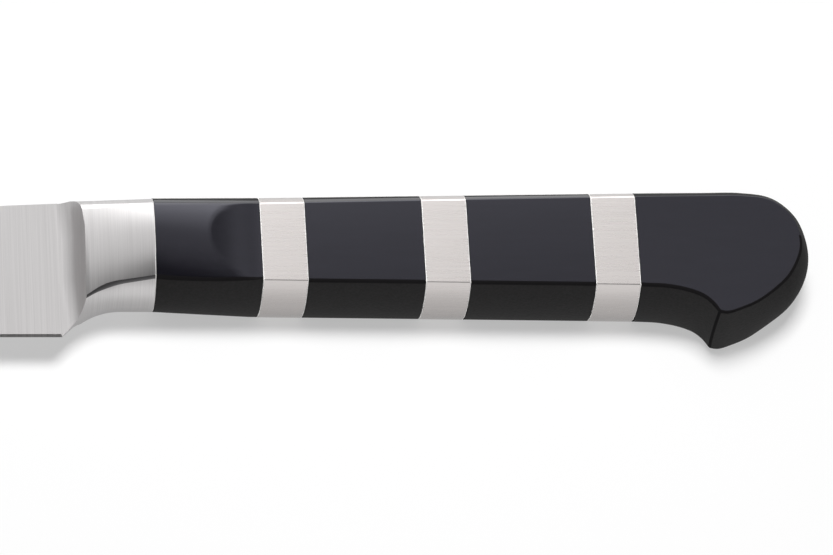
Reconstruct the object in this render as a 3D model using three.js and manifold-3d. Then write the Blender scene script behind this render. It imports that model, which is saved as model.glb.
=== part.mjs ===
// A serrated utility knife: a forged blade with its bolster and tang, and a handle stacked on the
// tang from four black plastic segments and three steel rings, clamped by a washer and a nut.
// Millimetres, +Z up. The knife lies on its side: tip to -X, butt to +X, spine to +Y.
// While it is built, X starts at the heel of the blade, Y at the spine behind the bolster and
// Z at the middle plane.
import * as THREE from "three";
import { mergeVertices } from "three/addons/utils/BufferGeometryUtils.js";
import Module from "manifold-3d";

const wasm = await Module();
wasm.setup();

// Lengths along the knife
const bladeLength = 130;
const bolsterLength = 15.3;
const neckLength = 17.35;
const ringWidth = 7.45;
const frontGripLength = 19.2;
const rearGripLength = 20.55;
const buttLength = 28.95;

// Blade
const heelHeight = 24.15;
const spineThickness = 2;
const tipThickness = 1.1;
const edgeThickness = 0.5;
const bevelHeight = 0.7;
const tipDepth = 18.6;
const tipHeight = 0.6;
const spineFall = 0.046;

// Serrations, ground from the upper side in one row of scallops
const plainHeel = 13;
const plainTip = 6;
const scallopPitch = 4.5;
const scallopDepth = 0.9;
const scallopRadius = 8;
const grindAngle = 20;

// Handle seen from the side, as depths below the spine behind the bolster
const spineRise = 1.05;
const neckDepth = 18.75;
const rearDepth = 19.6;
const guardAngle = 38;
const guardRadius = 14;

// Handle cross-section
const handleThickness = 13.26;
const ridgeSpineRadius = 7.2;
const bolsterSpineRadius = 9.3;
const frontSpineRadius = 8.2;
const rearSpineRadius = 9.1;
const ridgeBellyRadius = 8;
const frontBellyRadius = 16;
const filletLength = 4.35;
const filletHeight = 9;
const scoopRadius = 47;

// Egg section of the bolster and the neck: half-thickness at its upper and lower crease, and the
// bulge of the side between them, at the ridge, behind the bolster and at the front ring
const ridgeUpper = 6.3;
const ridgeLower = 5.2;
const ridgeBulge = 1.1;
const bolsterUpper = 7.15;
const bolsterLower = 5.9;
const bolsterBulge = 0.85;
const neckUpper = 6.8;
const neckLower = 6.85;
const neckBulge = 0.52;

// Butt: the flat side's outline, as distances back from the butt's end and below the spine line,
// with the height of the crowned rim at each point
const noseSpineCrown = 2.8;
const noseCrown = 1.95;
const hookCrown = 0.5;
const hookReach = 16.4;
const hookDepth = 24.35;

// Hidden fits
const tangHeight = 9;
const tangThickness = 3.6;
const tangDepth = 9.6;
const tangRoot = 2;
const fitClearance = 0.3;
const cutMargin = 1;
const ringWall = 2.4;
const ringBoreHeight = 13.2;
const boreCornerRadius = 2;
const studDiameter = 5;
const studTip = 1.5;
const studRecess = 1.5;
const washerThickness = 1.5;
const washerLap = 0.9;
const nutAcrossFlats = 8;
const nutHeight = 4;

// Fineness of the curved surfaces
const crownSteps = 5;
const sideSteps = 5;
const bladeSteps = 30;
const edgeSamples = 600;
const bolsterSteps = 18;
const neckSteps = 12;
const noseSteps = 39;
const hookSteps = 18;
const roundSides = 24;
const hexSides = 6;

// Stations along the handle
const bolsterRear = bolsterLength;
const frontRingStart = bolsterRear + neckLength;
const frontRingEnd = frontRingStart + ringWidth;
const middleRingStart = frontRingEnd + frontGripLength;
const middleRingEnd = middleRingStart + ringWidth;
const rearRingStart = middleRingEnd + rearGripLength;
const rearRingEnd = rearRingStart + ringWidth;
const buttEnd = rearRingEnd + buttLength;
const tangEnd = rearRingEnd - studRecess;
const halfThickness = handleThickness / 2;
const lerp = THREE.MathUtils.lerp;
const radians = THREE.MathUtils.degToRad;

// A value that changes in straight stretches between the stations it is given for
function between(x, stations, values) {
  const last = stations.length - 1;
  const after = stations.findIndex((station) => x < station);
  if (after === 0) return values[0];
  if (after < 0) return values[last];
  const share = (x - stations[after - 1]) / (stations[after] - stations[after - 1]);
  return lerp(values[after - 1], values[after], share);
}

function spineAt(x) {
  return spineRise * (x - bolsterRear) / (rearRingEnd - bolsterRear);
}

// The underside in the middle plane: a guard that rises from the heel in a slope and an arc,
// then a line that falls slowly towards the butt
function bellyAt(x) {
  const slope = Math.tan(radians(guardAngle));
  const tangent = guardRadius * Math.tan(radians(guardAngle / 2));
  const heel = spineAt(0) - heelHeight;
  const arcEnd = (-neckDepth - heel) / slope + tangent;
  const arcStart = arcEnd - guardRadius * Math.sin(radians(guardAngle));
  if (x <= 0) return heel;
  if (x < arcStart) return heel + slope * x;
  if (x < arcEnd) {
    return -neckDepth - guardRadius + Math.sqrt(guardRadius ** 2 - (arcEnd - x) ** 2);
  }
  return between(x, [frontRingStart, rearRingEnd], [-neckDepth, -rearDepth]);
}

function spineRadiusAt(x) {
  const stations = [filletLength, bolsterRear, frontRingStart, rearRingEnd];
  const radii = [ridgeSpineRadius, bolsterSpineRadius, frontSpineRadius, rearSpineRadius];
  return between(x, stations, radii);
}

function bellyRadiusAt(x) {
  const stations = [bolsterRear, frontRingStart];
  return between(x, stations, [ridgeBellyRadius, frontBellyRadius]);
}

// How far a crowned rim of a given radius falls away at a distance from the middle plane
function crownFall(radius, z) {
  return radius - Math.sqrt(radius ** 2 - z ** 2);
}

// One half of a cross-section, from the middle of the spine to the middle of the belly
function halfSection(x, upper, lower, bulge, steps) {
  const spine = spineAt(x);
  const belly = bellyAt(x);
  const spineRadius = spineRadiusAt(x);
  const bellyRadius = bellyRadiusAt(x);
  const points = [];
  const spineAngle = Math.asin(upper / spineRadius);
  for (let i = 0; i <= crownSteps; i += 1) {
    const angle = spineAngle * i / crownSteps;
    points.push([spine - spineRadius * (1 - Math.cos(angle)), spineRadius * Math.sin(angle)]);
  }
  const top = spine - crownFall(spineRadius, upper);
  const bottom = belly + crownFall(bellyRadius, lower);
  for (let i = 1; i < steps; i += 1) {
    const share = i / steps;
    const swell = 4 * bulge * share * (1 - share);
    points.push([lerp(top, bottom, share), lerp(upper, lower, share) + swell]);
  }
  const bellyAngle = Math.asin(lower / bellyRadius);
  for (let i = crownSteps; i >= 0; i -= 1) {
    const angle = bellyAngle * i / crownSteps;
    points.push([belly + bellyRadius * (1 - Math.cos(angle)), bellyRadius * Math.sin(angle)]);
  }
  return points;
}

function closedSection(x, half) {
  const near = half.map(([y, z]) => new THREE.Vector3(x, y, z));
  const far = half.slice(1, -1).reverse().map(([y, z]) => new THREE.Vector3(x, y, -z));
  return [...near, ...far];
}

// The egg section of the bolster and the neck, before its sides are ground flat
function eggSection(x) {
  const stations = [filletLength, bolsterRear, frontRingStart];
  const upper = between(x, stations, [ridgeUpper, bolsterUpper, neckUpper]);
  const lower = between(x, stations, [ridgeLower, bolsterLower, neckLower]);
  const bulge = between(x, stations, [ridgeBulge, bolsterBulge, neckBulge]);
  return closedSection(x, halfSection(x, upper, lower, bulge, sideSteps));
}

// The section behind the neck, with flat sides
function gripSection(x) {
  return closedSection(x, halfSection(x, halfThickness, halfThickness, 0, 1));
}

// A closed solid through loops of points that have the same count, in rising order
function loft(loops, flatten) {
  const clockwise = THREE.ShapeUtils.isClockWise(loops[0].map(flatten));
  const ordered = clockwise ? loops.map((loop) => [...loop].reverse()) : loops;
  const count = ordered[0].length;
  const last = (ordered.length - 1) * count;
  const index = [];
  for (let row = 0; row < last; row += count) {
    for (let i = 0; i < count; i += 1) {
      const next = (i + 1) % count;
      index.push(row + i, row + next, row + count + next);
      index.push(row + i, row + count + next, row + count + i);
    }
  }
  for (const [a, b, c] of THREE.ShapeUtils.triangulateShape(ordered[0].map(flatten), [])) {
    index.push(c, b, a);
  }
  for (const [a, b, c] of THREE.ShapeUtils.triangulateShape(ordered.at(-1).map(flatten), [])) {
    index.push(last + a, last + b, last + c);
  }
  const geometry = new THREE.BufferGeometry();
  geometry.setAttribute("position", new THREE.Float32BufferAttribute(
    ordered.flat().flatMap((point) => point.toArray()), 3));
  geometry.setIndex(index);
  return toSolid(geometry);
}

function loftAlongX(stations, sectionAt) {
  return loft(stations.map(sectionAt), (point) => new THREE.Vector2(point.y, point.z));
}

function evenly(start, end, steps) {
  return Array.from({ length: steps + 1 }, (_, i) => lerp(start, end, i / steps));
}

function toSolid(geometry) {
  geometry.deleteAttribute("normal");
  geometry.deleteAttribute("uv");
  const merged = mergeVertices(geometry, 1e-5);
  return new wasm.Manifold(new wasm.Mesh({
    numProp: 3,
    vertProperties: new Float32Array(merged.attributes.position.array),
    triVerts: new Uint32Array(merged.index.array),
  }));
}

function toGeometry(solid) {
  const mesh = solid.getMesh();
  const geometry = new THREE.BufferGeometry();
  geometry.setAttribute("position", new THREE.BufferAttribute(mesh.vertProperties, 3));
  geometry.setIndex(new THREE.BufferAttribute(mesh.triVerts, 1));
  return geometry;
}

// A box between two stations, centred on the tang's axis
function tangBox(start, end, height, thickness) {
  const box = new THREE.BoxGeometry(end - start, height, thickness);
  return toSolid(box.translate((start + end) / 2, -tangDepth, 0));
}

// A round or hexagonal bar between two stations on the tang's axis
function tangRod(start, end, diameter, sides) {
  const rod = new THREE.CylinderGeometry(diameter / 2, diameter / 2, end - start, sides);
  return toSolid(rod.rotateZ(-Math.PI / 2).translate((start + end) / 2, -tangDepth, 0));
}

// A bar with rounded corners between two stations on the tang's axis
function roundedBar(start, end, height, thickness, radius) {
  const up = height / 2 - radius;
  const out = thickness / 2 - radius;
  const shape = new THREE.Shape();
  shape.absarc(out, up, radius, 0, Math.PI / 2, false);
  shape.absarc(-out, up, radius, Math.PI / 2, Math.PI, false);
  shape.absarc(-out, -up, radius, Math.PI, 1.5 * Math.PI, false);
  shape.absarc(out, -up, radius, 1.5 * Math.PI, 2 * Math.PI, false);
  const bar = new THREE.ExtrudeGeometry(shape, {
    depth: end - start, bevelEnabled: false, curveSegments: crownSteps,
  });
  return toSolid(bar.rotateY(Math.PI / 2).translate(start, -tangDepth, 0));
}

// A prism across the knife, from an outline of lengths and heights above a side face
function sideCutter(shape, side, tilt, place) {
  const width = 3 * heelHeight;
  const prism = new THREE.ExtrudeGeometry(shape, {
    depth: width, bevelEnabled: false, curveSegments: 4 * crownSteps,
  });
  prism.rotateX(Math.PI / 2).translate(0, width / 2, 0);
  if (side < 0) prism.rotateX(Math.PI);
  prism.rotateX(side * tilt);
  return toSolid(prism.translate(place.x, place.y, side * place.z));
}

// Blade: wedge sections along two curves that meet at the tip, with a bevel along the edge
function bladeCurves() {
  const heel = spineAt(0);
  const reaches = [0, -0.38 * bladeLength, -0.81 * bladeLength, -bladeLength];
  const edge = heel - heelHeight;
  const spineLevels = [heel, heel + spineFall * reaches[1], heel + spineFall * reaches[2],
    heel - tipDepth + tipHeight / 2];
  const edgeLevels = [edge, edge, edge, heel - tipDepth - tipHeight / 2];
  const curve = (levels) => new THREE.CubicBezierCurve(
    ...reaches.map((reach, i) => new THREE.Vector2(reach, levels[i])));
  return { spine: curve(spineLevels), edge: curve(edgeLevels) };
}

const { spine: bladeSpine, edge: bladeEdge } = bladeCurves();

function bladeSection(share) {
  const top = bladeSpine.getPoint(share);
  const edge = bladeEdge.getPoint(share);
  const bevelTop = edge.y + Math.min(bevelHeight, (top.y - edge.y) / 3);
  const thick = lerp(spineThickness, tipThickness, share) / 2;
  const thin = Math.min(edgeThickness, lerp(spineThickness, tipThickness, share)) / 2;
  const half = [[top.y, 0], [top.y, thick], [bevelTop, thin], [edge.y, 0]];
  return closedSection(top.x, half);
}

function bladeShape() {
  const shares = evenly(1, 0, bladeSteps);
  return loftAlongX(shares, bladeSection);
}

// Wheel cuts that leave a row of pointed teeth, each a shallow groove that runs out on the face
function scallops() {
  const count = Math.floor((bladeLength - plainHeel - plainTip) / scallopPitch);
  const grind = radians(grindAngle);
  const reach = 4 * scallopPitch;
  const cuts = [];
  const edgePoints = bladeEdge.getPoints(edgeSamples);
  for (let i = 0; i < count; i += 1) {
    const x = -plainHeel - (i + 0.5) * scallopPitch;
    const point = edgePoints.find((candidate) => candidate.x <= x);
    const wheel = new THREE.CylinderGeometry(scallopRadius, scallopRadius, reach, 2 * roundSides);
    wheel.rotateY(Math.PI / (2 * roundSides)).rotateX(grind);
    const lift = scallopRadius * Math.cos(grind);
    const back = scallopDepth - scallopRadius * Math.sin(grind);
    cuts.push(toSolid(wheel.translate(x, point.y + back, lift)));
  }
  return cuts;
}

// Bolster: the egg section from the heel back, ground to a hollow ridge where the blade grows out
function bolsterShape() {
  const overlap = 0.3;
  const sink = 0.02;
  const stations = [-overlap, ...evenly(0, bolsterRear, bolsterSteps)];
  let body = loftAlongX(stations, eggSection);
  const ridge = new THREE.Shape();
  ridge.moveTo(-2 * overlap, 0);
  ridge.lineTo(0, 0);
  ridge.absellipse(0, filletHeight, filletLength, filletHeight, -Math.PI / 2, 0, false);
  ridge.lineTo(filletLength, 2 * filletHeight);
  ridge.lineTo(-2 * overlap, 2 * filletHeight);
  const wedge = (spineThickness - edgeThickness) / 2 / (heelHeight - bevelHeight);
  const place = new THREE.Vector3(0, spineAt(0), spineThickness / 2 - sink);
  for (const side of [1, -1]) {
    body = body.subtract(sideCutter(ridge, side, Math.atan(wedge), place));
  }
  return body;
}

function forgedBlade() {
  const studEnd = rearRingEnd + washerThickness + nutHeight + studTip;
  const root = bolsterRear - tangRoot;
  let blade = bladeShape();
  for (const cut of scallops()) blade = blade.subtract(cut);
  return blade
    .add(bolsterShape())
    .add(tangBox(root, tangEnd, tangHeight, tangThickness))
    .add(tangRod(tangEnd - tangRoot, studEnd, studDiameter, roundSides));
}

// Spigots and bores that hold the stack in line
const boreThickness = handleThickness - 2 * ringWall;
const halfSpigot = (ringWidth - fitClearance) / 2;
const fullSpigot = ringWidth - fitClearance;
const studHole = studDiameter + 2 * fitClearance;
const nutAcrossCorners = nutAcrossFlats / Math.cos(Math.PI / hexSides);

function spigot(start, end) {
  const height = ringBoreHeight - 2 * fitClearance;
  const thickness = boreThickness - 2 * fitClearance;
  return roundedBar(start, end, height, thickness, boreCornerRadius - fitClearance);
}

function tangSlot(start, end) {
  const height = tangHeight + 2 * fitClearance;
  const thickness = tangThickness + 2 * fitClearance;
  return tangBox(start, end, height, thickness);
}

// Neck: the egg section, with a wheel's run-out on each side down to the flat of the handle
function neckSegment() {
  let body = loftAlongX(evenly(bolsterRear, frontRingStart, neckSteps), eggSection);
  const runOut = new THREE.Shape();
  const sweep = Math.asin(0.9 * neckLength / scoopRadius);
  runOut.moveTo(cutMargin, 0);
  runOut.lineTo(0, 0);
  runOut.absarc(0, scoopRadius, scoopRadius, -Math.PI / 2, -Math.PI / 2 - sweep, true);
  runOut.lineTo(-scoopRadius * Math.sin(sweep), handleThickness);
  runOut.lineTo(cutMargin, handleThickness);
  const place = new THREE.Vector3(frontRingStart, 0, halfThickness);
  for (const side of [1, -1]) {
    body = body.subtract(sideCutter(runOut, side, 0, place));
  }
  return body
    .add(spigot(frontRingStart - cutMargin, frontRingStart + halfSpigot))
    .subtract(tangSlot(bolsterRear - cutMargin, frontRingEnd));
}

function ring(start) {
  const end = start + ringWidth;
  const mouth = start - cutMargin;
  const far = end + cutMargin;
  const bore = roundedBar(mouth, far, ringBoreHeight, boreThickness, boreCornerRadius);
  return loftAlongX([start, end], gripSection).subtract(bore);
}

function grip(start, end, rearSpigot) {
  return loftAlongX([start, end], gripSection)
    .add(spigot(start - halfSpigot, end + rearSpigot))
    .subtract(tangSlot(start - ringWidth, end + ringWidth));
}

// The last grip is also drilled for the root of the stud
function rearGrip() {
  const drilling = tangRod(tangEnd - tangRoot - fitClearance, rearRingEnd, studHole, roundSides);
  return grip(middleRingEnd, rearRingStart, fullSpigot).subtract(drilling);
}

// Butt: a flat-sided plate whose rim is crowned, with a rounded nose and a hook below
function buttOutline() {
  const point = (back, below, crown) => {
    const x = buttEnd - back;
    return new THREE.Vector3(x, spineAt(x) - below, crown);
  };
  const frontCrown = crownFall(rearSpineRadius, halfThickness);
  const bellyCrown = crownFall(frontBellyRadius, halfThickness);
  const bellyCrease = spineAt(rearRingEnd) - bellyAt(rearRingEnd) - bellyCrown;
  const upper = new THREE.CatmullRomCurve3([
    point(buttLength, frontCrown, frontCrown),
    point(18, frontCrown, noseSpineCrown),
    point(11, frontCrown + 0.1, noseSpineCrown),
    point(6.6, 3.75, 2.6),
    point(3.5, 6.4, 2.3),
    point(2.1, 9.7, noseCrown),
    point(noseCrown, 12.4, noseCrown),
    point(2.7, 14.9, 2),
    point(4.4, 17.9, 1.8),
    point(6.7, 20.2, 1.4),
    point(9.8, 22.5, 0.9),
    point(12.6, 23.8, 0.6),
    point(15, hookDepth + 0.2, hookCrown),
    point(hookReach, hookDepth, hookCrown),
  ], false, "centripetal");
  const lower = new THREE.CatmullRomCurve3([
    point(hookReach, hookDepth, hookCrown),
    point(hookReach + 1, hookDepth - 1.55, 0.55),
    point(hookReach + 2.4, hookDepth - 2.9, 0.9),
    point(hookReach + 4.6, hookDepth - 3.95, 1.2),
    point(hookReach + 8, bellyCrease + 0.35, bellyCrown),
    point(buttLength, bellyCrease, bellyCrown),
  ], false, "centripetal");
  return [...upper.getPoints(noseSteps), ...lower.getPoints(hookSteps).slice(1)];
}

// The outline at one height, moved out along its own normals by the crown
function buttLoop(outline, z) {
  const last = outline.length - 1;
  return outline.map((point, i) => {
    const before = outline[Math.max(i - 1, 0)];
    const after = outline[Math.min(i + 1, last)];
    const along = new THREE.Vector2(after.x - before.x, after.y - before.y).normalize();
    if (i === 0) along.set(1, 0);
    if (i === last) along.set(-1, 0);
    const radius = (halfThickness ** 2 + point.z ** 2) / (2 * point.z);
    const out = point.z - crownFall(radius, z);
    return new THREE.Vector3(point.x - along.y * out, point.y + along.x * out, z);
  });
}

function buttSegment() {
  const outline = buttOutline();
  const heights = evenly(-90, 90, 2 * crownSteps).map((a) => halfThickness * Math.sin(radians(a)));
  const loops = heights.map((z) => buttLoop(outline, z));
  const body = loft(loops, (point) => new THREE.Vector2(point.x, point.y));
  const start = rearRingEnd - cutMargin;
  const washerEnd = rearRingEnd + washerThickness + fitClearance;
  const pocketEnd = washerEnd + nutHeight + studTip + fitClearance;
  const pocket = nutAcrossCorners + 2 * fitClearance;
  const seat = washerSize(fitClearance);
  return body
    .subtract(roundedBar(start, washerEnd, seat.height, seat.thickness, boreCornerRadius))
    .subtract(tangRod(start, pocketEnd, pocket, roundSides));
}

// Clamp: a washer that laps onto the rear ring all round its bore, and a nut
function washerSize(clearance) {
  return {
    height: ringBoreHeight + 2 * washerLap + 2 * clearance,
    thickness: boreThickness + 2 * washerLap + 2 * clearance,
  };
}

function tangWasher() {
  const size = washerSize(0);
  const end = rearRingEnd + washerThickness;
  return roundedBar(rearRingEnd, end, size.height, size.thickness, boreCornerRadius)
    .subtract(tangRod(rearRingEnd - cutMargin, end + cutMargin, studHole, roundSides));
}

function tangNut() {
  const start = rearRingEnd + washerThickness;
  const end = start + nutHeight;
  return tangRod(start, end, nutAcrossCorners, hexSides)
    .subtract(tangRod(start - cutMargin, end + cutMargin, studHole, roundSides));
}

const forgedSteel = { color: 0xc8c7c4, roughness: 0.32, metalness: 1 };
const ringSteel = { color: 0xd3cdc9, roughness: 0.3, metalness: 1 };
const blackPlastic = { color: 0x25272c, roughness: 0.42, metalness: 0 };
const zincSteel = { color: 0xb4b6b8, roughness: 0.4, metalness: 1 };

const pieces = [
  ["forged_blade", forgedBlade(), forgedSteel],
  ["neck_segment", neckSegment(), blackPlastic],
  ["front_ring", ring(frontRingStart), ringSteel],
  ["front_grip", grip(frontRingEnd, middleRingStart, halfSpigot), blackPlastic],
  ["middle_ring", ring(middleRingStart), ringSteel],
  ["rear_grip", rearGrip(), blackPlastic],
  ["rear_ring", ring(rearRingStart), ringSteel],
  ["butt_segment", buttSegment(), blackPlastic],
  ["tang_washer", tangWasher(), zincSteel],
  ["tang_nut", tangNut(), zincSteel],
];

const knife = new THREE.Group();
knife.name = "utility_knife";
for (const [name, solid, finish] of pieces) {
  const mesh = new THREE.Mesh(toGeometry(solid), new THREE.MeshStandardMaterial(finish));
  mesh.name = name;
  knife.add(mesh);
}

// The origin is under the middle of the knife, on the surface that it lies on
const box = new THREE.Box3().setFromObject(knife);
const middle = box.getCenter(new THREE.Vector3());
knife.position.set(-middle.x, -middle.y, -box.min.z);

export default knife;
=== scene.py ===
from math import asin, atan, cos, pi, radians, sin, sqrt, tan

import bmesh
import bpy
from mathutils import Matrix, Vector
from numpy import interp


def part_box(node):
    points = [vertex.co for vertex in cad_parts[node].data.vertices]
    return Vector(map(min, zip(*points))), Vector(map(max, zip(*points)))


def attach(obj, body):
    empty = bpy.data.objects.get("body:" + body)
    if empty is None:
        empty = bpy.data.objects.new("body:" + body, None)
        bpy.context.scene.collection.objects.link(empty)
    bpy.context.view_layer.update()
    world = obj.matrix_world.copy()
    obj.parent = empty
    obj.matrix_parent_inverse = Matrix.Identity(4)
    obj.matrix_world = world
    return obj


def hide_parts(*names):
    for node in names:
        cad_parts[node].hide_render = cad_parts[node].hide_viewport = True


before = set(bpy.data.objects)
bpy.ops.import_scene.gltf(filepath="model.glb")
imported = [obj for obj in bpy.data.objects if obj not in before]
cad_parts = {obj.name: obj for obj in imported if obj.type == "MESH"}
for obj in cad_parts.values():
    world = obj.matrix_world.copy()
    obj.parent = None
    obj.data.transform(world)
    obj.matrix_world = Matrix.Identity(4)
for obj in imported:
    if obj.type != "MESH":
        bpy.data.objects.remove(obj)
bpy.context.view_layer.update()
mm = 0.001

# the pieces are modelled in millimetres from the heel of the blade: +X to the butt, +Y to the spine,
# Z = 0 in the middle plane, and are scaled down onto the frame when they are finished

neckBox, frontRingBox, rearRingBox = (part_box(n) for n in ("neck_segment", "front_ring", "rear_ring"))
bladeBox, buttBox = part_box("forged_blade"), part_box("butt_segment")

handle = {
    "bolsterLength": 15.3,  # heel to the first black segment
    "filletLength": 4.35,  # heel to the ridge of the bolster
    "guardAngle": 46, "guardRadius": 11,  # slope and arc from the heel up to the belly
    "heelLift": 4,  # slope of the belly in front of the heel, clear of the cutting edge
    "middle": -9,  # height between the upper and the lower edges of the sides
    # crown of spine and belly at the ridge, the bolster's end, the front ring and the rear ring
    "spineRadius": (7.2, 9.3, 8.2, 9.1),
    "bellyRadius": (8, 8, 16, 16),
    # at the first three of these: half thickness at the upper crease, and swell of the side below it
    "upper": (5.9, 7.15, 6.8), "swell": (0.6, 1.05, 0.98),
    "flatSteps": (12, 8, 14),  # faces over the spine, down each flat side and under the belly
}
handle["lower"] = (  # half thickness at the lower crease, by place
    (handle["filletLength"], 4.5), (handle["bolsterLength"], 5.8), (24.5, 6.25), (29.2, 6.6), (32.6, 7.1))

spineSlope = (rearRingBox[1].y - frontRingBox[1].y) / (rearRingBox[1].x - frontRingBox[1].x)
heelPoint = Vector((
    neckBox[0].x - handle["bolsterLength"] * mm,
    frontRingBox[1].y - spineSlope * (frontRingBox[1].x - neckBox[0].x),
    (frontRingBox[0].z + frontRingBox[1].z) / 2))


def fromHeel(point):
    return (point - heelPoint) / mm


halfThick = fromHeel(frontRingBox[1]).z
frontRingStart, rearRingEnd = fromHeel(frontRingBox[0]).x, fromHeel(rearRingBox[1]).x
bellyFront, bellyRear = fromHeel(frontRingBox[0]), fromHeel(rearRingBox[0])
bellySlope = (bellyRear.y - bellyFront.y) / (rearRingEnd - fromHeel(frontRingBox[1]).x)
bellyStart = bellyFront.y - bellySlope * (fromHeel(frontRingBox[1]).x - frontRingStart)
heelEdge = fromHeel(bladeBox[0]).y
stations = (handle["filletLength"], handle["bolsterLength"], frontRingStart, rearRingEnd)


def spineAt(x):
    return spineSlope * (x - handle["bolsterLength"])


def guardEnds():
    slope, radius = radians(handle["guardAngle"]), handle["guardRadius"]
    end = (bellyStart - heelEdge) / tan(slope) + radius * tan(slope / 2)
    return end - radius * sin(slope), end


def bellyAt(x):
    arcStart, arcEnd = guardEnds()
    if x < 0:
        return heelEdge - handle["heelLift"] * x
    if x < arcStart:
        return heelEdge + tan(radians(handle["guardAngle"])) * x
    if x < arcEnd:
        return bellyStart - handle["guardRadius"] + sqrt(handle["guardRadius"] ** 2 - (arcEnd - x) ** 2)
    return bellyStart + bellySlope * max(x - frontRingStart, 0)


def byPlace(x, sizes):
    # a size that changes evenly between the places it is given for
    return float(interp(x, *zip(*sizes)))


def taper(x, values):
    return byPlace(x, zip(stations, values))


def crownFall(radius, z):
    return radius - sqrt(radius ** 2 - z ** 2)


def arc(start, end, rise, steps):
    # points from start up to end, on an arc that rises to the left of the way there
    start, end = Vector(start), Vector(end)
    along = end - start
    chord = along.length
    along /= chord
    out = Vector((-along.y, along.x))
    if rise < 1e-6:  # straight
        return [start.lerp(end, i / steps) for i in range(steps)]
    radius = (chord ** 2 / 4 + rise ** 2) / (2 * rise)
    half = asin(chord / 2 / radius)
    middle = (start + end) / 2 - (radius - rise) * out
    turns = [half * (2 * i / steps - 1) for i in range(steps)]
    return [middle + radius * (sin(t) * along + cos(t) * out) for t in turns]


def section(x, upper, lower, swell, steps):
    # one cross-section: over the spine, down the far side, under the belly and up the near side
    spineSteps, sideSteps, bellySteps = steps
    top = spineAt(x) - crownFall(taper(x, handle["spineRadius"]), upper)
    bottom = bellyAt(x) + crownFall(taper(x, handle["bellyRadius"]), lower)
    corners = [(top, upper), (top, -upper), (bottom, -lower), (bottom, lower)]
    loop = arc(corners[0], corners[1], spineAt(x) - top, spineSteps)
    loop += arc(corners[1], corners[2], swell, sideSteps)
    loop += arc(corners[2], corners[3], bottom - bellyAt(x), bellySteps)
    loop += arc(corners[3], corners[0], swell, sideSteps)
    return [Vector((x, y, z)) for y, z in loop]


def eggSection(x, steps):
    lower = byPlace(x, handle["lower"])
    return section(x, taper(x, handle["upper"]), lower, taper(x, handle["swell"]), steps)


def flatSection(x, crown):
    return section(x, halfThick, halfThick, crown, handle["flatSteps"])


# modelling helpers

easing = {"segments": 5, "cornerAngle": 60, "cornerSegments": 2}


def editMesh():
    return bmesh.from_edit_mesh(bpy.context.object.data)


def addLoop(points):
    # a circle whose vertices are moved to the outline; inside edit mode it joins the piece
    bpy.ops.mesh.primitive_circle_add(vertices=len(points), radius=1)
    if bpy.context.mode != "EDIT_MESH":
        bpy.ops.object.mode_set(mode="EDIT")
    fresh = [v for v in editMesh().verts if v.select]
    for vertex, point in zip(fresh, points):
        vertex.co = point
    bmesh.update_edit_mesh(bpy.context.object.data)


def selectVerts(test):
    bpy.ops.mesh.select_all(action="DESELECT")
    mesh = editMesh()
    for vertex in mesh.verts:
        vertex.select = test(vertex)
    mesh.select_flush_mode()
    mesh.select_flush(True)
    bmesh.update_edit_mesh(bpy.context.object.data)


def selectEdges(test):
    bpy.ops.mesh.select_mode(type="EDGE")
    bpy.ops.mesh.select_all(action="DESELECT")
    mesh = editMesh()
    for edge in mesh.edges:
        edge.select = test(edge)
    mesh.select_flush_mode()
    bmesh.update_edit_mesh(bpy.context.object.data)


def loft(name, loops, materials, cuts=0, closeEnds=True):
    bpy.ops.object.select_all(action="DESELECT")
    for loop in loops:
        addLoop(loop)
    piece = bpy.context.object
    piece.name = piece.data.name = name
    for material in materials:
        piece.data.materials.append(material)
    count = len(loops[0])
    for first in range(0, count * (len(loops) - 1), count):
        selectVerts(lambda vertex: first <= vertex.index < first + 2 * count)
        bpy.ops.mesh.bridge_edge_loops(number_cuts=cuts, interpolation="LINEAR")
    if closeEnds:
        closeMesh()
    return piece


def closeMesh():
    selectEdges(lambda edge: edge.is_boundary)
    bpy.ops.mesh.edge_face_add()
    bpy.ops.mesh.select_all(action="SELECT")
    bpy.ops.mesh.normals_make_consistent(inside=False)


def easeEdges(piece, angle, sizeAt, finish, clamp=False, segments=easing["segments"]):
    # rounds each edge that is sharper than the angle by the size given for its place, and gives it
    # the material of that number, often a painted shade or painted highlight
    mesh = editMesh()
    layers = mesh.edges.layers.float
    weights = layers.get("bevel_weight_edge") or layers.new("bevel_weight_edge")
    for edge in mesh.edges:
        sharp = edge.is_manifold and edge.calc_face_angle() > radians(angle)
        edge[weights] = sizeAt((edge.verts[0].co + edge.verts[1].co) / 2) if sharp else 0
    bmesh.update_edit_mesh(piece.data)
    bpy.ops.object.mode_set(mode="OBJECT")
    ease = piece.modifiers.new("eased edges", "BEVEL")
    ease.limit_method, ease.width, ease.segments, ease.material = "WEIGHT", 1, segments, finish
    ease.use_clamp_overlap = clamp
    bpy.ops.object.modifier_apply(modifier=ease.name)
    bpy.ops.object.mode_set(mode="EDIT")


def breakCorners(piece, sizeAt, clamp=False):
    # the sharp corners round the ends of a piece, which take its second material: a painted highlight on
    # steel, painted shade on plastic
    easeEdges(piece, easing["cornerAngle"], sizeAt, 1, clamp, easing["cornerSegments"])


def isUpper(place):
    return place.y > handle["middle"]


def easeName(place):
    return "upperEase" if isUpper(place) else "lowerEase"


def spareUpper(piece):
    # the eased edges above the middle of the sides keep the piece's own finish, so that the painted shade
    # lies on the lower edges only
    mesh = editMesh()
    for face in mesh.faces:
        if isUpper(face.calc_center_median()):
            face.material_index = 0
    bmesh.update_edit_mesh(piece.data)


def partFinishes(piece):
    # only the sides of a plastic piece are sanded, and its spine, belly and rim get the third
    # material, the moulded finish
    mesh = editMesh()
    mesh.normal_update()
    for face in mesh.faces:
        if face.material_index == 0 and abs(face.normal.z) < plastic["sideSlope"]:
            face.material_index = 2
    bmesh.update_edit_mesh(piece.data)


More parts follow.
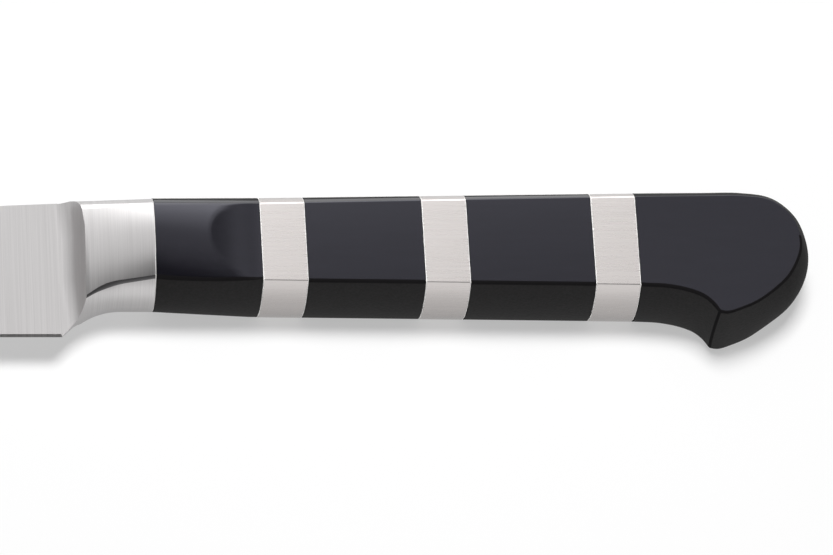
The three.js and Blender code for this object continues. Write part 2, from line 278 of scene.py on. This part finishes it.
def carve(piece, tool, how):
    bpy.ops.object.select_all(action="DESELECT")
    bpy.context.view_layer.objects.active = piece
    modifier = piece.modifiers.new("carve", "BOOLEAN")
    modifier.operation, modifier.solver, modifier.object = how, "EXACT", tool
    bpy.ops.object.modifier_apply(modifier=modifier.name)
    bpy.data.objects.remove(tool)


def settle(piece, node, smoothAngle=25):
    # scales the finished piece down onto the frame, in place of its CAD node
    if bpy.context.mode != "OBJECT":
        bpy.ops.object.mode_set(mode="OBJECT")
    bpy.ops.object.select_all(action="DESELECT")
    piece.select_set(True)
    bpy.context.view_layer.objects.active = piece
    bpy.ops.object.shade_smooth_by_angle(angle=radians(smoothAngle))
    weighted = piece.modifiers.new("flat sides stay flat", "WEIGHTED_NORMAL")
    weighted.keep_sharp = True
    bpy.ops.object.modifier_apply(modifier=weighted.name)
    piece.scale = (mm, mm, mm)
    piece.location = heelPoint
    bpy.ops.object.transform_apply(location=True, rotation=False, scale=True)
    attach(piece, "root")
    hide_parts(node)
    print("finished", piece.name, len(piece.data.polygons), "faces")


# materials, with their patterns in millimetres: pitch or length of lines along each axis, size of grain

patternSpan = (0.3, 0.7)  # the part of a pattern's range that its tones are spread over
# the lines of the grinding are drawn coarser than real ones, so that they show
forgedGrind = {"tones": ("#bfbdbd", "#cbc9c9"), "lines": (0.16, 25, 25), "rough": (0.28, 0.37),
               "strength": 0.013, "depth": 0.01}
ringGrind = {"tones": ("#c9c4c2", "#cec9c7"), "lines": (12, 0.2, 0.2), "rough": (0.26, 0.3),
             "strength": 0.01, "depth": 0.008}
plastic = {
    # streaks and grain are drawn coarser than real ones too
    "sanded": ("#0b0a0f", "#131218"), "streaks": (9, 0.3, 0.3), "streakDepth": 0.004,
    "moulded": ("#050404", "#131112"), "grain": 0.4, "grainDepth": 0.08, "grainSpan": (0.35, 0.65),
    "sideSlope": 0.7,  # faces that look up or down more than this belong to the sanded sides
}
zinc = {"tone": "#b4b6b8", "patch": 1.5, "rough": (0.3, 0.5)}


def linear(hexColour):
    parts = [int(hexColour[i:i + 2], 16) / 255 for i in (1, 3, 5)]
    return tuple(c / 12.92 if c <= 0.04045 else ((c + 0.055) / 1.055) ** 2.4 for c in parts) + (1,)


def addNode(tree, kind, settings=None, links=None):
    node = tree.nodes.new(kind)
    for name, value in (settings or {}).items():
        if name == "stops":  # places and colours along a ramp
            marks = node.color_ramp.elements
            while len(marks) < len(value):
                marks.new(0.5)
            for mark, (place, colour) in zip(marks, value):
                mark.position, mark.color = place, colour
        elif isinstance(name, int) or name in node.inputs:
            node.inputs[name].default_value = value
        else:
            setattr(node, name, value)
    for name, socket in (links or {}).items():
        tree.links.new(socket, node.inputs[name])
    return node


def newMaterial(name):
    material = bpy.data.materials.new(name)
    material.use_nodes = True
    material.node_tree.nodes.clear()
    return material, material.node_tree


def showSurface(tree, settings, links=None):
    shader = addNode(tree, "ShaderNodeBsdfPrincipled", settings, links)
    addNode(tree, "ShaderNodeOutputMaterial", {}, {"Surface": shader.outputs[0]})


def groundLines(tree, size, roughness):
    place = addNode(tree, "ShaderNodeTexCoord").outputs["Object"]
    scale = [1 / (length * mm) for length in size]
    stretched = addNode(tree, "ShaderNodeMapping", {"Scale": scale}, {"Vector": place})
    lines = addNode(tree, "ShaderNodeTexNoise", {"Scale": 1, "Detail": 3, "Roughness": roughness},
                    {"Vector": stretched.outputs[0]})
    return lines.outputs["Fac"]


def spread(tones, span):
    return [(place, linear(tone)) for place, tone in zip(span, tones)]


def groundSteel(name, grind):
    # satin ground steel: hairlines that spread the reflection across themselves
    material, tree = newMaterial(name)
    hair = groundLines(tree, grind["lines"], roughness=0.6)
    tones = addNode(tree, "ShaderNodeValToRGB", {"stops": spread(grind["tones"], patternSpan)},
                    {"Fac": hair})
    low, high = patternSpan
    smooth, dull = grind["rough"]
    rough = addNode(tree, "ShaderNodeMapRange", {
        "From Min": low, "From Max": high, "To Min": smooth, "To Max": dull}, {"Value": hair})
    bump = addNode(tree, "ShaderNodeBump", {
        "Strength": grind["strength"], "Distance": grind["depth"] * mm}, {"Height": hair})
    showSurface(tree, {"Metallic": 1}, {
        "Base Color": tones.outputs["Color"], "Roughness": rough.outputs[0], "Normal": bump.outputs[0]})
    return material


def sandedPlastic():
    # black acetal of the sides, sanded with the rings: greyer and glossier than the rest, and streaked
    # along the handle
    material, tree = newMaterial("black_acetal_sanded")
    streaks = groundLines(tree, plastic["streaks"], roughness=0.55)
    tones = addNode(tree, "ShaderNodeValToRGB", {"stops": spread(plastic["sanded"], patternSpan)},
                    {"Fac": streaks})
    bump = addNode(tree, "ShaderNodeBump", {"Strength": 0.2, "Distance": plastic["streakDepth"] * mm},
                   {"Height": streaks})
    showSurface(tree, {"Roughness": 0.2, "IOR": 1.5, "Specular Tint": (0.86, 0.86, 1, 1)}, {
        "Base Color": tones.outputs["Color"], "Normal": bump.outputs[0]})
    return material


def mouldedPlastic():
    # black acetal of the spine, the belly and the rims, as it left the mould: deep black and matte,
    # finely grained
    material, tree = newMaterial("black_acetal_moulded")
    place = addNode(tree, "ShaderNodeTexCoord").outputs["Object"]
    noise = addNode(tree, "ShaderNodeTexNoise", {"Scale": 1 / (plastic["grain"] * mm), "Detail": 2},
                    {"Vector": place})
    grain = noise.outputs["Fac"]
    tones = addNode(tree, "ShaderNodeValToRGB", {
        "stops": spread(plastic["moulded"], plastic["grainSpan"])}, {"Fac": grain})
    bump = addNode(tree, "ShaderNodeBump", {"Strength": 0.8, "Distance": plastic["grainDepth"] * mm},
                   {"Height": grain})
    showSurface(tree, {"Roughness": 0.8, "Specular IOR Level": 0.42}, {
        "Base Color": tones.outputs["Color"], "Normal": bump.outputs[0]})
    return material


def platedSteel():
    # bright zinc on the hidden washer and nut: pale, with cloudy crystal patches
    material, tree = newMaterial("zinc_plated_steel")
    place = addNode(tree, "ShaderNodeTexCoord").outputs["Object"]
    cloud = addNode(tree, "ShaderNodeTexNoise", {"Scale": 1 / (zinc["patch"] * mm), "Detail": 2},
                    {"Vector": place})
    smooth, dull = zinc["rough"]
    rough = addNode(tree, "ShaderNodeMapRange", {"To Min": smooth, "To Max": dull},
                    {"Value": cloud.outputs["Fac"]})
    showSurface(tree, {"Base Color": linear(zinc["tone"]), "Metallic": 1},
                {"Roughness": rough.outputs[0]})
    return material


def plainFinish(name, settings):
    material, tree = newMaterial(name)
    showSurface(tree, settings)
    return material


forgedSteel = groundSteel("forged_steel_cross_ground", forgedGrind)
ringSteel = groundSteel("ring_steel_long_ground", ringGrind)
# the broken corners of the steel, real small chamfers coloured as a painted highlight: a fine white line
# beside the black
steelCornerHighlight = plainFinish("steel_corner_painted_highlight", {
    "Base Color": linear("#f5f3f1"), "Metallic": 0.15, "Roughness": 0.5})
# the bolster's eased lower edges: painted shade, a dark grey line
steelCreaseShade = plainFinish("steel_crease_painted_shade", {
    "Base Color": linear("#6f6e6f"), "Metallic": 1, "Roughness": 0.4})
blackSides, blackRounds = sandedPlastic(), mouldedPlastic()
# the eased lower edges of the plastic: painted shade, a deep black line
plasticEdgeShade = plainFinish("black_acetal_edge_painted_shade", {
    "Base Color": linear("#171617"), "Roughness": 0.8, "Specular IOR Level": 0.05})
# each set holds the piece's own finish first; the steel's then a painted highlight for corners and
# painted shade for lower edges, the plastic's a painted shade for lower edges and the moulded finish
blackMaterials = (blackSides, plasticEdgeShade, blackRounds)
forgedMaterials = (forgedSteel, steelCornerHighlight, steelCreaseShade)
zincSteel = platedSteel()
print("materials ready")

# forged blade: bolster, hollow in front of it, serrated blade

blade = {
    "length": 130, "spineThick": 2, "tipThick": 1.1, "edgeThick": 0.5, "bevel": 0.45, "spineEase": 0.12,
    "tipDepth": 18.6, "tipHeight": 0.6, "spineFall": 0.046, "stations": 40,
    "pulls": (0.38, 0.81),  # where the handles of its outline's curve stand, by length
    "rootReach": 1, "rootInset": (0.3, 0.2),  # its end inside the bolster, off the spine and the belly
    # the hollow in front of the ridge leaves the blade slowly and then rises ever more steeply:
    # height, start, reach, rise and power of its curve
    "hollow": ((20, -4.7, 4.97, 5.3, 3.8), (-3, -1.35, 4.97, 5.3, 3.8), (-6.5, -1, 4.97, 5.3, 3.8),
               (-14, -1, 4.97, 5.3, 3.8), (-22, 0.4, 3.9, 5.1, 3.2), (-50, 0.4, 3.9, 5.1, 3.2)),
    "hollowSteps": 70, "hollowRun": 1.25,  # the curve goes on past its reach, clear of the bolster
    "hollowFront": -9, "hollowSink": 0.003,  # the cut's front end, and how far it lies below the blade
    # serrations, ground by a wheel from one side
    "plainHeel": 13, "plainTip": 6, "pitch": 4.5, "scallop": 0.9, "grind": 20,
    "wheel": 8, "wheelWidth": 18, "wheelFacets": 96, "searchSteps": 600,
    # bolster: its start in front of the heel, faces, and edges eased by place
    "bolsterStart": -1.05, "guardTurns": 14, "sectionSteps": (6, 6, 10), "cuts": 3,
    "upperEase": ((handle["filletLength"], 0.75), (handle["bolsterLength"], 0.28)),
    "lowerEase": ((handle["filletLength"], 0.25), (7, 0.47), (handle["bolsterLength"], 0.22)),
    "easeStart": 1.5,  # in front of this the hollow takes the lower edges away
    "creaseAngle": 12, "rearCorner": 0.14, "rearStart": 10, "sliver": 0.002, "smoothAngle": 22,
}


def bezier(levels, share):
    a, b, c, d = levels
    back = 1 - share
    return a * back ** 3 + 3 * b * share * back ** 2 + 3 * c * share ** 2 * back + d * share ** 3


def bladeLevels():
    reaches = [-share * blade["length"] for share in (0, *blade["pulls"], 1)]
    top = spineAt(0)
    tip = top - blade["tipDepth"]
    spine = [top, top + blade["spineFall"] * reaches[1], top + blade["spineFall"] * reaches[2],
             tip + blade["tipHeight"] / 2]
    edge = [heelEdge, heelEdge, heelEdge, tip - blade["tipHeight"] / 2]
    return reaches, spine, edge


def bladeSection(x, top, low, share):
    thick = blade["spineThick"] + share * (blade["tipThick"] - blade["spineThick"])
    ease = blade["spineEase"]
    bevelTop = low + min(blade["bevel"], (top - low) / 3)  # a third of the depth at the narrow tip
    half = [(top, thick / 2 - ease), (top - ease, thick / 2),
            (bevelTop, min(blade["edgeThick"], thick) / 2)]
    loop = half + [(low, 0)] + [(y, -z) for y, z in reversed(half)]
    return [Vector((x, y, z)) for y, z in loop]


def bladeLoop(share):
    x, top, low = (bezier(levels, share) for levels in bladeLevels())
    return bladeSection(x, top, low, share)


def bolsterEase(place):
    if place.x < blade["easeStart"] and not isUpper(place):
        return 0
    return byPlace(place.x, blade[easeName(place)])


def makeBolster():
    arcStart, arcEnd = guardEnds()
    turns = blade["guardTurns"]
    guard = [arcStart + (arcEnd - arcStart) * i / turns for i in range(turns + 1)]
    places = sorted({blade["bolsterStart"], 0, arcStart / 2, *guard, handle["bolsterLength"]})
    loops = [eggSection(x, blade["sectionSteps"]) for x in places]
    bolster = loft("forged_blade_satin", loops, forgedMaterials, blade["cuts"], False)
    # the lower edges take material 2, the steel's painted shade
    easeEdges(bolster, blade["creaseAngle"], bolsterEase, 2, True)
    spareUpper(bolster)
    closeMesh()
    breakCorners(bolster, lambda place: blade["rearCorner"] if place.x > blade["rearStart"] else 0, True)
    bpy.ops.object.mode_set(mode="OBJECT")
    return bolster


def cutHollow(bolster, side):
    # lies on the tapered side of the blade
    taperDepth = -heelEdge + spineAt(0) - blade["bevel"]
    wedge = atan((blade["spineThick"] - blade["edgeThick"]) / 2 / taperDepth)
    steps, front, sink = blade["hollowSteps"], blade["hollowFront"], blade["hollowSink"]
    shares = [blade["hollowRun"] * i / steps for i in range(steps + 1)]
    loops = []
    for y, start, reach, rise, power in blade["hollow"]:
        curve = [(start + reach * share, rise * share ** power - sink) for share in shares]
        outline = [(front, -sink), *curve, (front, curve[-1][1])]
        loops.append([Vector((x, y, side * z)) for x, z in outline])
    cut = loft("hollow", loops, forgedMaterials)
    bpy.ops.object.mode_set(mode="OBJECT")
    cut.rotation_euler = (side * wedge, 0, 0)
    cut.location = (0, spineAt(0), side * blade["spineThick"] / 2)
    carve(bolster, cut, "DIFFERENCE")


def makeSteel():
    shares = [i / blade["stations"] for i in range(blade["stations"] + 1)]
    root, (offSpine, offBelly) = blade["rootReach"], blade["rootInset"]
    inside = bladeSection(root, spineAt(0) - offSpine, bellyAt(root) + offBelly, 0)
    steel = loft("blade", [inside] + [bladeLoop(s) for s in shares], forgedMaterials)
    bpy.ops.object.mode_set(mode="OBJECT")
    reaches, _, edge = bladeLevels()
    count = int((blade["length"] - blade["plainHeel"] - blade["plainTip"]) / blade["pitch"])
    tilt = radians(blade["grind"])
    fine = [j / blade["searchSteps"] for j in range(blade["searchSteps"] + 1)]
    for i in range(count):
        x = -blade["plainHeel"] - (i + 0.5) * blade["pitch"]
        share = next(s for s in fine if bezier(reaches, s) <= x)
        bpy.ops.mesh.primitive_cylinder_add(
            vertices=blade["wheelFacets"], radius=blade["wheel"], depth=blade["wheelWidth"],
            rotation=(tilt - pi / 2, 0, 0),
            location=(x, bezier(edge, share) + blade["scallop"] - blade["wheel"] * sin(tilt),
                      blade["wheel"] * cos(tilt)))
        carve(steel, bpy.context.object, "DIFFERENCE")
    return steel


def makeForgedBlade():
    piece = makeBolster()
    for side in (1, -1):
        cutHollow(piece, side)
    carve(piece, makeSteel(), "UNION")
    # slivers that the cuts leave are taken out
    bpy.ops.object.mode_set(mode="EDIT")
    bpy.ops.mesh.select_all(action="SELECT")
    bpy.ops.mesh.remove_doubles(threshold=blade["sliver"])
    bpy.ops.mesh.dissolve_degenerate(threshold=blade["sliver"])
    settle(piece, "forged_blade", blade["smoothAngle"])


makeForgedBlade()

# neck segment: convex behind the bolster, then ground down to the handle's flat sides

neck = {
    "runOut": 35, "softness": 0.07,  # radius of the wheel, and width of the edge that it leaves
    "upperEase": (0.5, 0.2), "lowerEase": (0.4, 0.35),  # at the bolster and at the front ring
    "creaseAngle": 12, "stations": 8, "sectionSteps": (12, 24, 14), "cuts": 8,
}


def makeNeck():
    start, end = handle["bolsterLength"], frontRingStart
    places = [start + (end - start) * i / neck["stations"] for i in range(neck["stations"] + 1)]
    loops = [eggSection(x, neck["sectionSteps"]) for x in places]
    piece = loft("neck_segment_black", loops, blackMaterials, neck["cuts"], False)
    # the lower edges take material 1, the plastic's painted shade
    easeEdges(piece, neck["creaseAngle"],
              lambda place: byPlace(place.x, zip((start, end), neck[easeName(place)])), 1)
    spareUpper(piece)
    mesh = editMesh()
    soft = neck["softness"]
    for vertex in mesh.verts:
        # the wheel's run-out, eased into the convex side over a soft edge
        limit = halfThick + crownFall(neck["runOut"], end - vertex.co.x)
        depth = abs(vertex.co.z)
        mix = min(max(0.5 + 0.5 * (limit - depth) / soft, 0), 1)
        eased = limit + mix * (depth - limit) - soft * mix * (1 - mix)
        vertex.co.z = eased if vertex.co.z > 0 else -eased
    bmesh.update_edit_mesh(piece.data)
    closeMesh()
    partFinishes(piece)
    settle(piece, "neck_segment")


makeNeck()

# rings and grips: one section drawn out along the handle, with the number of the material that its
# lower edges take: the ring's own steel, or the grip's painted shade

ring = {"crown": 0.03, "upperEase": 0.2, "lowerEase": 0.12, "corner": 0.16,
        "creaseAngle": 20, "creaseMaterial": 0}
grip = {"crown": 0.1, "upperEase": 0.15, "lowerEase": 0.4, "corner": 0.04,
        "creaseAngle": 20, "creaseMaterial": 1}


def drawOut(name, start, end, sizes, materials):
    loops = [flatSection(x, sizes["crown"]) for x in (start, end)]
    piece = loft(name, loops, materials, closeEnds=False)
    easeEdges(piece, sizes["creaseAngle"], lambda place: sizes[easeName(place)], sizes["creaseMaterial"])
    spareUpper(piece)
    closeMesh()
    breakCorners(piece, lambda place: sizes["corner"])
    return piece


def makeRing(node):
    start, end = (fromHeel(corner).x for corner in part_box(node))
    piece = drawOut(node + "_steel", start, end, ring, (ringSteel, steelCornerHighlight))
    settle(piece, node)


def makeGrip(node, start, end):
    piece = drawOut(node + "_black", start, end, grip, blackMaterials)
    partFinishes(piece)
    settle(piece, node)


for ringNode in ("front_ring", "middle_ring", "rear_ring"):
    makeRing(ringNode)
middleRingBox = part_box("middle_ring")
makeGrip("front_grip", fromHeel(frontRingBox[1]).x, fromHeel(middleRingBox[0]).x)
makeGrip("rear_grip", fromHeel(middleRingBox[1]).x, fromHeel(rearRingBox[0]).x)

# butt segment: flat sides, a crowned rim, a rounded nose and a hook

butt = {
    "noseSpineCrown": 2.8, "noseCrown": 1.95, "hookCrown": 0.5, "hookReach": 16.4, "hookDepth": 24.35,
    "noseSteps": 156, "hookSteps": 72, "layers": 22, "creaseAngle": 22,
    # edges eased: spine and nose, belly, below the nose, hook, against the ring
    "ease": {"upper": 0.08, "belly": 0.4, "below": 0.3, "hook": 0.28, "ring": 0.04},
    "easeChange": (1, 3),  # in front of the hook and behind it, from the belly's ease to the one below
    "hookRoom": 1.5,  # clear space beside the hook's edge, by its ease
    "ringMargin": 0.01, "sideMargin": 0.05,  # how close an edge is to count as on the ring or the side
}


def smoothCurve(points, count):
    # a centripetal curve through the points
    ends = [2 * points[0] - points[1], *points, 2 * points[-1] - points[-2]]
    curve = []
    for i in range(count + 1):
        place = (len(points) - 1) * i / count
        k = min(int(place), len(points) - 2)
        p0, p1, p2, p3 = ends[k:k + 4]
        d0, d1, d2 = (sqrt((b - a).length) for a, b in ((p0, p1), (p1, p2), (p2, p3)))
        leave = ((p1 - p0) / d0 - (p2 - p0) / (d0 + d1) + (p2 - p1) / d1) * d1
        reach = ((p2 - p1) / d1 - (p3 - p1) / (d1 + d2) + (p3 - p2) / d2) * d1
        w = place - k
        curve.append((2 * w ** 3 - 3 * w ** 2 + 1) * p1 + (w ** 3 - 2 * w ** 2 + w) * leave
                     + (3 * w ** 2 - 2 * w ** 3) * p2 + (w ** 3 - w ** 2) * reach)
    return curve


def buttOutline():
    # the flat side's outline: back from the butt's end, below the spine line, and the rim's crown there
    end = fromHeel(buttBox[1]).x
    length = end - rearRingEnd
    reach, depth, hookCrown = butt["hookReach"], butt["hookDepth"], butt["hookCrown"]
    noseSpine, nose = butt["noseSpineCrown"], butt["noseCrown"]
    front = crownFall(handle["spineRadius"][3], halfThick)
    belly = crownFall(handle["bellyRadius"][3], halfThick)
    crease = spineAt(rearRingEnd) - bellyAt(rearRingEnd) - belly
    upper = [(length, front, front), (18, front, noseSpine), (11, front + 0.1, noseSpine),
             (6.6, 3.75, 2.6), (3.5, 6.4, 2.3), (2.1, 9.7, nose), (nose, 12.4, nose), (2.7, 14.9, 2),
             (4.4, 17.9, 1.8), (6.7, 20.2, 1.4), (9.8, 22.5, 0.9), (12.6, 23.8, 0.6),
             (15, depth + 0.2, hookCrown), (reach, depth, hookCrown)]
    lower = [(reach, depth, hookCrown), (reach + 1, depth - 1.55, 0.55),
             (reach + 2.4, depth - 2.9, 0.9), (reach + 4.6, depth - 3.95, 1.2),
             (reach + 8, crease + 0.35, belly), (length, crease, belly)]
    curves = []
    for points, count in ((upper, butt["noseSteps"]), (lower, butt["hookSteps"])):
        placed = [Vector((end - back, spineAt(end - back) - below, crown))
                  for back, below, crown in points]
        curves.append(smoothCurve(placed, count))
    tip = curves[1][0]
    # the hook's edge stands clear of its neighbours, so that it can be rounded
    room = butt["hookRoom"] * butt["ease"]["hook"]
    upper, lower = ([p for p in curve if (p - tip).length > room] for curve in curves)
    return upper + [tip] + lower


def buttLoop(outline, z):
    last = len(outline) - 1
    loop = []
    for i, point in enumerate(outline):
        before, after = outline[max(i - 1, 0)], outline[min(i + 1, last)]
        along = Vector((after.x - before.x, after.y - before.y)).normalized()
        if i in (0, last):
            along = Vector((1 if i == 0 else -1, 0))
        radius = (halfThick ** 2 + point.z ** 2) / (2 * point.z)
        out = point.z - crownFall(radius, z)
        loop.append(Vector((point.x - along.y * out, point.y + along.x * out, z)))
    return loop


def buttEase(place):
    ease, hookX = butt["ease"], fromHeel(buttBox[1]).x - butt["hookReach"]
    if place.x < rearRingEnd + butt["ringMargin"]:
        return ease["ring"]
    if abs(place.z) < halfThick - butt["sideMargin"]:
        return ease["hook"]
    if isUpper(place):
        return ease["upper"]
    before, behind = butt["easeChange"]
    return byPlace(place.x, ((hookX - before, ease["belly"]), (hookX + behind, ease["below"])))


def makeButt():
    outline = buttOutline()
    heights = [halfThick * (2 * i / butt["layers"] - 1) for i in range(butt["layers"] + 1)]
    piece = loft("butt_segment_black", [buttLoop(outline, z) for z in heights], blackMaterials)
    # the eased edges take material 1, the plastic's painted shade, and the upper ones lose it again
    easeEdges(piece, butt["creaseAngle"], buttEase, 1)
    spareUpper(piece)
    partFinishes(piece)
    settle(piece, "butt_segment")


makeButt()

# the hidden washer and nut keep their CAD shapes

for node in ("tang_washer", "tang_nut"):
    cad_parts[node].data.materials.clear()
    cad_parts[node].data.materials.append(zincSteel)

# stage, light and camera

stage = {
    "floorSize": 6, "floor": "#f4f4f4", "glow": 0.45,
    # the board in reflections: how much of it is plain, and its level from close to the knife outwards,
    # dimmed near the knife as a painted shadow
    "mirrored": 0.9, "mirrorReach": (8, 40), "mirrorLevel": (0.55, 1.05),
}


def makeFloor():
    bpy.ops.object.select_all(action="DESELECT")
    bpy.ops.mesh.primitive_plane_add(size=stage["floorSize"])
    floor = bpy.context.object
    floor.name = "floor"
    # white board, shown to the eye as partly plain white, so that the shadow on it stays light
    material, tree = newMaterial("white_board_matte")
    board = addNode(tree, "ShaderNodeBsdfDiffuse", {"Color": linear(stage["floor"])})
    white = addNode(tree, "ShaderNodeEmission", {"Color": (1, 1, 1, 1), "Strength": 1})
    ray = addNode(tree, "ShaderNodeLightPath")
    seen = addNode(tree, "ShaderNodeMath", {"operation": "MAXIMUM"}, {
        0: ray.outputs["Is Camera Ray"], 1: ray.outputs["Is Transmission Ray"]})
    shown = addNode(tree, "ShaderNodeMath", {"operation": "MULTIPLY", 1: stage["glow"]},
                    {0: seen.outputs[0]})
    direct = addNode(tree, "ShaderNodeMixShader", {}, {
        "Fac": shown.outputs[0], 1: board.outputs[0], 2: white.outputs[0]})
    # the gloss of steel and plastic shows the board too, with a painted shadow that dims it beside the
    # knife
    place = addNode(tree, "ShaderNodeSeparateXYZ", {}, {
        "Vector": addNode(tree, "ShaderNodeTexCoord").outputs["Object"]})
    away = addNode(tree, "ShaderNodeMath", {"operation": "ABSOLUTE"}, {0: place.outputs["Y"]})
    near, far = (reach * mm for reach in stage["mirrorReach"])
    dim, full = stage["mirrorLevel"]
    level = addNode(tree, "ShaderNodeMapRange", {
        "From Min": near, "From Max": far, "To Min": dim, "To Max": full}, {"Value": away.outputs[0]})
    image = addNode(tree, "ShaderNodeEmission", {"Color": (1, 1, 1, 1)}, {"Strength": level.outputs[0]})
    mirrored = addNode(tree, "ShaderNodeMath", {"operation": "MULTIPLY", 1: stage["mirrored"]},
                       {0: ray.outputs["Is Glossy Ray"]})
    mix = addNode(tree, "ShaderNodeMixShader", {}, {
        "Fac": mirrored.outputs[0], 1: direct.outputs[0], 2: image.outputs[0]})
    addNode(tree, "ShaderNodeOutputMaterial", {}, {"Surface": mix.outputs[0]})
    floor.data.materials.append(material)


makeFloor()

light = {
    "key": {"place": (0.07, 0.1, 0.8), "size": (0.26, 0.26), "radiance": 32},
    "fill": {"place": (0, 0, 1.2), "size": (3, 3), "radiance": 0.16},
    # what the gloss shows, by degrees from overhead: minus is behind the knife, plus is in front of it,
    # and how each part of it fades from the left, at -1, to the right, at 1
    "room": ((-90, 0.68), (-53, 0.75), (-37, 0.82), (-29, 0.88), (-20, 1), (-10, 1.05), (0, 1.06),
             (4, 0.88), (7, 0.35), (10, 0.06), (24, 0.08), (40, 0.75), (60, 0.95), (78, 1), (86, 1.6)),
    "roomSides": ((-1, 1), (-0.1, 1), (0.3, 0.45), (1, 0.6)),
    "flag": ((-16, 0), (-4, 1), (44, 1), (54, 0)),  # a black card above the knife
    "flagSides": ((-0.11, 0), (-0.02, 1), (0.3, 1), (0.45, 0)),
    "flagLevel": 0.25,  # what the card leaves of the room
    "softbox": ((-100, 3), (-62, 4), (-58, 5), (-48, 3.9), (-43, 2.85), (-39, 2.45), (-36, 2.15),
                (-33, 1.82), (-30, 1.45), (-28, 1.16), (-26, 1.05), (-24, 1.02), (-20, 0.98), (-17, 0.88),
                (-14, 0.76), (-8, 0.62), (-4, 0.52), (-1, 0.4), (2, 0.26), (5, 0.11), (9, 0.02)),
    "softboxSides": ((-0.4, 0), (-0.1, 0.97), (0.08, 1), (0.1, 1.02), (0.13, 0.78), (0.155, 0.42),
                     (0.18, 0.42), (0.24, 0.8), (0.3, 0.75), (0.39, 0.26), (0.55, 0)),
}


def addLamp(name):
    lampSizes = light[name]
    width, height = lampSizes["size"]
    bpy.ops.object.light_add(type="AREA", location=lampSizes["place"])
    lamp = bpy.context.object
    lamp.name = name
    lamp.data.shape = "RECTANGLE"
    lamp.data.size, lamp.data.size_y = width, height
    lamp.data.energy = lampSizes["radiance"] * pi * width * height
    lamp.rotation_euler = (-Vector(lampSizes["place"])).to_track_quat("-Z", "Y").to_euler()
    lamp.visible_camera = lamp.visible_glossy = False


def addProfile(tree, value, lowest, highest, levels):
    # a level that changes between the places it is given for, as a ramp from the lowest to the highest
    brightest = max(level for _, level in levels)
    share = addNode(tree, "ShaderNodeMapRange", {"From Min": lowest, "From Max": highest},
                    {"Value": value})
    stops = [((place - lowest) / (highest - lowest), (level / brightest,) * 3 + (1,))
             for place, level in levels]
    ramp = addNode(tree, "ShaderNodeValToRGB", {"stops": stops}, {"Fac": share.outputs[0]})
    scaled = addNode(tree, "ShaderNodeMath", {"operation": "MULTIPLY", 1: brightest},
                     {0: ramp.outputs["Color"]})
    return scaled.outputs[0]


def makeWorld():
    world = bpy.data.worlds.new("studio")
    bpy.context.scene.world = world
    world.use_nodes = True
    tree = world.node_tree
    tree.nodes.clear()
    way = addNode(tree, "ShaderNodeSeparateXYZ", {}, {
        "Vector": addNode(tree, "ShaderNodeTexCoord").outputs["Generated"]})
    turned = addNode(tree, "ShaderNodeMath", {"operation": "ARCTAN2"}, {
        0: way.outputs["Y"], 1: way.outputs["Z"]})
    degrees = addNode(tree, "ShaderNodeMath", {"operation": "MULTIPLY", 1: -180 / pi},
                      {0: turned.outputs[0]})
    parts = {}
    for name in ("room", "flag", "softbox"):
        parts[name] = addNode(tree, "ShaderNodeMath", {"operation": "MULTIPLY"}, {
            0: addProfile(tree, degrees.outputs[0], -180, 180, light[name]),
            1: addProfile(tree, way.outputs["X"], -1, 1, light[name + "Sides"])}).outputs[0]
    spared = addNode(tree, "ShaderNodeMapRange", {"To Min": 1, "To Max": light["flagLevel"]},
                     {"Value": parts["flag"]})
    walls = addNode(tree, "ShaderNodeMath", {"operation": "MULTIPLY"},
                    {0: parts["room"], 1: spared.outputs[0]})
    level = addNode(tree, "ShaderNodeMath", {"operation": "MAXIMUM"},
                    {0: walls.outputs[0], 1: parts["softbox"]})
    room = addNode(tree, "ShaderNodeBackground", {"Color": (1, 1, 1, 1)}, {"Strength": level.outputs[0]})
    white = addNode(tree, "ShaderNodeBackground", {"Color": (1, 1, 1, 1), "Strength": 1})
    ray = addNode(tree, "ShaderNodeLightPath")
    seen = addNode(tree, "ShaderNodeMixShader", {}, {
        "Fac": ray.outputs["Is Camera Ray"], 1: room.outputs[0], 2: white.outputs[0]})
    addNode(tree, "ShaderNodeOutputWorld", {}, {"Surface": seen.outputs[0]})
    world.cycles_visibility.diffuse = False  # the lamps alone light matte surfaces


addLamp("key")
addLamp("fill")
makeWorld()

camera = {"aim": (58.663, -13.4, 0), "tilt": 27.63, "yaw": 6.79, "distance": 1.4831, "lens": 391,
          "sensor": 36, "clipEnd": 20}


def makeCamera():
    bpy.ops.object.camera_add()
    view = bpy.context.object
    view.data.lens = camera["lens"]
    view.data.sensor_width = camera["sensor"]
    view.data.clip_end = camera["clipEnd"]
    view.rotation_mode = "ZYX"
    view.rotation_euler = (radians(camera["tilt"]), radians(-camera["yaw"]), 0)
    back = view.rotation_euler.to_matrix() @ Vector((0, 0, camera["distance"]))
    view.location = heelPoint + Vector(camera["aim"]) * mm + back
    bpy.context.scene.camera = view


makeCamera()
bpy.context.scene.view_settings.view_transform = "Standard"
print("stage, light and camera ready")
